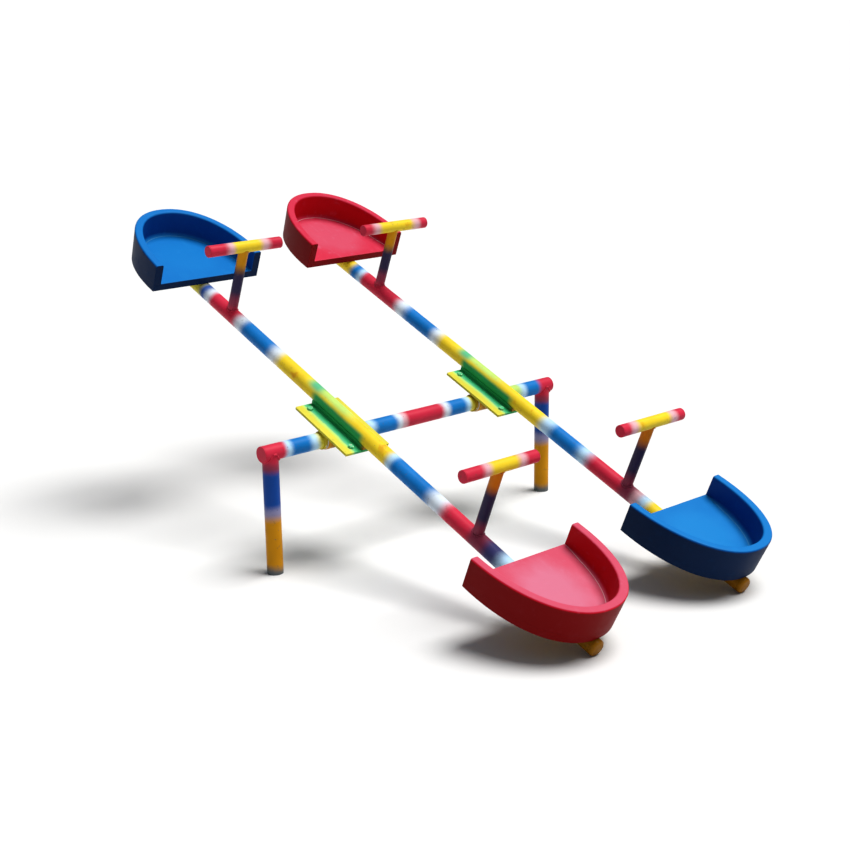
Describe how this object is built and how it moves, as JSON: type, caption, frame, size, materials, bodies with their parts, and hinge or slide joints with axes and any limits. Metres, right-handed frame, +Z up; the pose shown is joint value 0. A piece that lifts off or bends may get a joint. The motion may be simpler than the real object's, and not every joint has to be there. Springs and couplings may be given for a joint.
{
  "type": "double seesaw",
  "caption": "Double playground seesaw: tilting tube beams with bucket seats and T-shaped handles, side by side on a fixed crossbar with a leg at each end.",
  "frame": {"origin": "on the ground, under the middle of the whole seesaw with both beams resting near end down", "axes": "+X along the crossbar to the right leg, +Y along the beams towards the raised far ends, +Z up"},
  "size_m": [1.234, 2.1761, 1.0034],
  "materials": {
    "yellow_paint": "gloss enamel, sprayed in bands with soft edges",
    "red_paint": "gloss enamel",
    "green_paint": "gloss enamel",
    "amber_paint": "gloss enamel",
    "navy_paint": "gloss enamel",
    "blue_plastic": "moulded, soft sheen",
    "red_plastic": "moulded, soft sheen",
    "zinc": "plated",
    "nylon": "machined"
  },
  "bodies": {
    "frame": {"crossbar": "red_paint", "leg_left": "amber_paint", "leg_right": "amber_paint", "crossbar_cap_left": "red_paint", "crossbar_cap_right": "red_paint", "collar_left_inner": "yellow_paint", "collar_left_outer": "yellow_paint", "collar_right_inner": "yellow_paint", "collar_right_outer": "yellow_paint"},
    "seesaw_left": {"beam_left": "yellow_paint", "saddle_left": "green_paint", "beam_plate_left": "yellow_paint", "sleeve_plate_left": "yellow_paint", "pivot_sleeve_left": "amber_paint", "bush_left_inner": "nylon", "bush_left_outer": "nylon", "plate_bolt_left_1": "zinc", "plate_bolt_left_2": "zinc", "plate_bolt_left_3": "zinc", "plate_bolt_left_4": "zinc", "beam_cap_left_near": "amber_paint", "seat_left_near": "red_plastic", "seat_bracket_left_near": "amber_paint", "handle_post_left_near": "navy_paint", "handlebar_left_near": "yellow_paint", "handlebar_cap_left_near_left": "red_paint", "handlebar_cap_left_near_right": "red_paint", "beam_cap_left_far": "amber_paint", "seat_left_far": "blue_plastic", "seat_bracket_left_far": "amber_paint", "handle_post_left_far": "navy_paint", "handlebar_left_far": "yellow_paint", "handlebar_cap_left_far_left": "red_paint", "handlebar_cap_left_far_right": "red_paint"},
    "seesaw_right": {"beam_right": "yellow_paint", "saddle_right": "green_paint", "beam_plate_right": "yellow_paint", "sleeve_plate_right": "yellow_paint", "pivot_sleeve_right": "amber_paint", "bush_right_inner": "nylon", "bush_right_outer": "nylon", "plate_bolt_right_1": "zinc", "plate_bolt_right_2": "zinc", "plate_bolt_right_3": "zinc", "plate_bolt_right_4": "zinc", "beam_cap_right_near": "amber_paint", "seat_right_near": "blue_plastic", "seat_bracket_right_near": "amber_paint", "handle_post_right_near": "navy_paint", "handlebar_right_near": "yellow_paint", "handlebar_cap_right_near_left": "red_paint", "handlebar_cap_right_near_right": "red_paint", "beam_cap_right_far": "amber_paint", "seat_right_far": "red_plastic", "seat_bracket_right_far": "amber_paint", "handle_post_right_far": "navy_paint", "handlebar_right_far": "yellow_paint", "handlebar_cap_right_far_left": "red_paint", "handlebar_cap_right_far_right": "red_paint"}
  },
  "joints": [
    {"name": "left_seesaw_pivot", "type": "hinge", "parent": "frame", "child": "seesaw_left", "pos_m": [-0.319, 0.04564, 0.385], "axis": [-1, 0, 0], "range_deg": [0, 43.9]},
    {"name": "right_seesaw_pivot", "type": "hinge", "parent": "frame", "child": "seesaw_right", "pos_m": [0.319, 0.04564, 0.385], "axis": [-1, 0, 0], "range_deg": [0, 43.9]}
  ]
}
